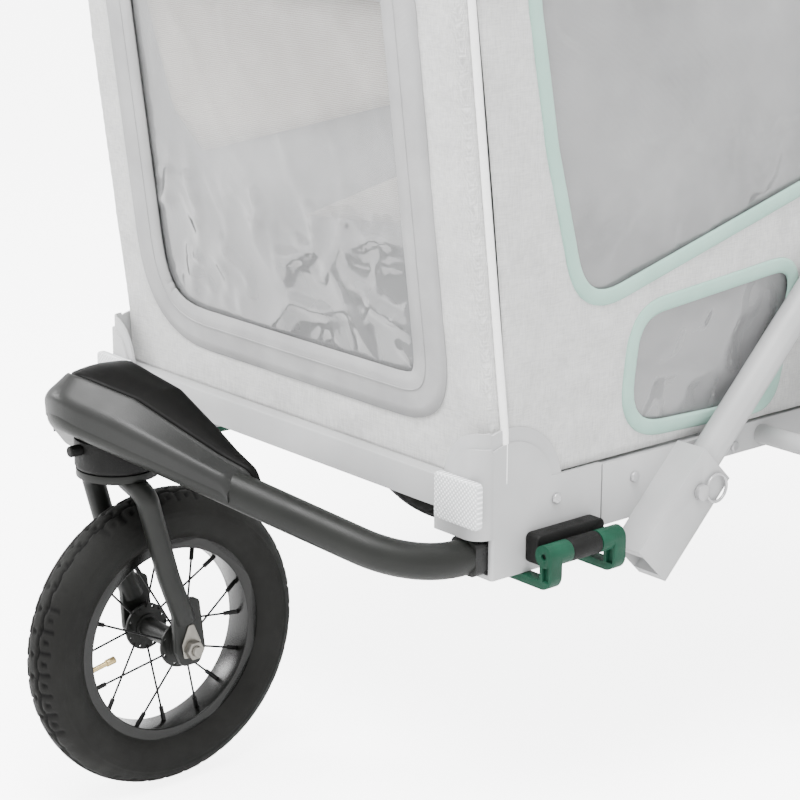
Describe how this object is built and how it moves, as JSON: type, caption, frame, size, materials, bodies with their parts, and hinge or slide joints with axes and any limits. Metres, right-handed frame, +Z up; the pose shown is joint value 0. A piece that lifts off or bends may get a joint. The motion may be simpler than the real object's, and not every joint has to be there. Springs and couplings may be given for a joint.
{
  "type": "child bicycle trailer",
  "caption": "Two-seat child bicycle trailer set up as a pushchair: folding fabric cabin, spoked rear wheels, push handle and a swivelling front wheel on a V-shaped arm.",
  "frame": {"origin": "centre of the bounding box's base: on the ground, midway across and along the whole object", "axes": "+X to the trailer's left side, +Y towards its rear (forward is -Y), +Z up"},
  "size_m": [0.856, 1.2385, 0.9517],
  "materials": {
    "rubber_black": "matte tread rubber",
    "metal_black": "satin black powder coat",
    "plastic_black": "moulded black plastic",
    "plastic_green": "moulded dark green plastic",
    "plate_pale": "pale moulded plastic",
    "tube_pale": "pale coated tube",
    "steel": "zinc-plated steel",
    "brass": "bare brass",
    "fabric_pale": "pale grey melange woven polyester",
    "window_film": "soft clear film over pale mesh",
    "reflector_clear": "clear prismatic reflector",
    "reflector_red": "red prismatic reflector",
    "foam_dark": "foam-backed dark fabric",
    "foam_grip": "foam grip",
    "webbing": "woven webbing"
  },
  "bodies": {
    "base": {"arm_receivers": "tube_pale", "backrest_bar": "tube_pale", "base_rails": "tube_pale", "corner_brackets": "plate_pale", "flag_socket": "plate_pale", "floor_tray": "plate_pale", "frame_bolts": "steel", "front_panel": "fabric_pale", "front_reflectors": "reflector_clear", "front_window": "window_film", "handle_knuckles": "plate_pale", "hoop_hinges": "tube_pale", "latch_blocks": "plastic_black", "rear_axle": "tube_pale", "rear_panel": "fabric_pale", "rear_reflectors": "reflector_red", "roof_panel": "fabric_pale", "seat_cushion": "foam_dark", "side_panel_left": "fabric_pale", "side_panel_right": "fabric_pale", "side_struts": "tube_pale", "side_windows": "window_film", "strut_sockets": "plate_pale", "wheel_guards": "tube_pale"},
    "arm": {"arm_tube": "metal_black", "arm_spigots": "plastic_black", "swivel_head": "plastic_black", "head_bracket": "metal_black", "cover_flank": "plastic_black", "cover_lid": "plastic_black"},
    "fork": {"fork": "metal_black", "front_axle": "metal_black", "front_axle_nuts": "steel"},
    "front_wheel": {"front_tyre": "rubber_black", "front_rim": "metal_black", "front_spokes": "metal_black", "front_hub": "metal_black", "front_valve": "brass"},
    "swivel_lock": {"swivel_lock_knob": "plastic_black"},
    "latch_left": {"latch_lever_left": "plastic_green"},
    "latch_right": {"latch_lever_right": "plastic_green"},
    "pin_left": {"strut_pin_left": "steel"},
    "pin_right": {"strut_pin_right": "steel"},
    "handle": {"handle_bar": "tube_pale", "handle_grip": "foam_grip"},
    "wheel_left": {"rear_tyre_left": "rubber_black", "rear_rim_left": "metal_black", "rear_spokes_left": "metal_black", "rear_hub_left": "metal_black"},
    "wheel_right": {"rear_tyre_right": "rubber_black", "rear_rim_right": "metal_black", "rear_spokes_right": "metal_black", "rear_hub_right": "metal_black"},
    "button_left": {"release_button_left": "plastic_black"},
    "button_right": {"release_button_right": "plastic_black"},
    "brake": {"brake_pedal": "tube_pale"},
    "front_hoop": {"front_hoop": "tube_pale"},
    "rear_hoop": {"rear_hoop": "tube_pale"},
    "backrest": {"backrest": "foam_dark", "harness_straps": "webbing"}
  },
  "joints": [
    {"name": "arm_slide", "type": "slide", "parent": "base", "child": "arm", "axis": [0, -1, 0], "range_m": [0, 0.12]},
    {"name": "fork_swivel", "type": "hinge", "parent": "arm", "child": "fork", "pos_m": [0, -0.51376, 0.33], "axis": [0, 0, 1], "continuous": true},
    {"name": "front_wheel_spin", "type": "hinge", "parent": "fork", "child": "front_wheel", "pos_m": [0, -0.46676, 0.1525], "axis": [1, 0, 0], "continuous": true},
    {"name": "swivel_lock_pull", "type": "slide", "parent": "arm", "child": "swivel_lock", "axis": [0, -1, 0], "range_m": [0, 0.008], "stiffness_N_per_m": 600},
    {"name": "latch_left_turn", "type": "hinge", "parent": "base", "child": "latch_left", "pos_m": [0.334, -0.21874, 0.28], "axis": [0, -1, 0], "range_deg": [0, 75]},
    {"name": "latch_right_turn", "type": "hinge", "parent": "base", "child": "latch_right", "pos_m": [-0.334, -0.21874, 0.28], "axis": [0, 1, 0], "range_deg": [0, 75]},
    {"name": "pin_left_pull", "type": "slide", "parent": "base", "child": "pin_left", "axis": [1, 0, 0], "range_m": [0, 0.05]},
    {"name": "pin_right_pull", "type": "slide", "parent": "base", "child": "pin_right", "axis": [-1, 0, 0], "range_m": [0, 0.05]},
    {"name": "handle_turn", "type": "hinge", "parent": "base", "child": "handle", "pos_m": [0, 0.42408, 0.79082], "axis": [1, 0, 0], "range_deg": [-60, 80]},
    {"name": "wheel_left_spin", "type": "hinge", "parent": "base", "child": "wheel_left", "pos_m": [0.377, 0.32926, 0.25], "axis": [1, 0, 0], "continuous": true},
    {"name": "wheel_right_spin", "type": "hinge", "parent": "base", "child": "wheel_right", "pos_m": [-0.377, 0.32926, 0.25], "axis": [1, 0, 0], "continuous": true},
    {"name": "button_left_press", "type": "slide", "parent": "wheel_left", "child": "button_left", "axis": [-1, 0, 0], "range_m": [0, 0.004], "stiffness_N_per_m": 500},
    {"name": "button_right_press", "type": "slide", "parent": "wheel_right", "child": "button_right", "axis": [1, 0, 0], "range_m": [0, 0.004], "stiffness_N_per_m": 500},
    {"name": "brake_turn", "type": "hinge", "parent": "base", "child": "brake", "pos_m": [0, 0.41126, 0.268], "axis": [-1, 0, 0], "range_deg": [0, 20]},
    {"name": "front_hoop_fold", "type": "hinge", "parent": "base", "child": "front_hoop", "pos_m": [0, -0.27674, 0.36], "axis": [-1, 0, 0], "range_deg": [0, 84], "deforming": ["front_panel", "front_window", "roof_panel", "rear_panel", "side_panel_left", "side_panel_right", "side_windows"]},
    {"name": "rear_hoop_fold", "type": "hinge", "parent": "base", "child": "rear_hoop", "pos_m": [0, 0.56226, 0.36], "axis": [1, 0, 0], "range_deg": [0, 58.5]},
    {"name": "backrest_fold", "type": "hinge", "parent": "base", "child": "backrest", "pos_m": [0, 0.30726, 0.412], "axis": [1, 0, 0], "range_deg": [0, 101]}
  ],
  "couplings": [
    {"joint": "rear_hoop_fold", "follows": "front_hoop_fold", "ratio": 0.69},
    {"joint": "backrest_fold", "follows": "front_hoop_fold", "ratio": 1.19}
  ]
}
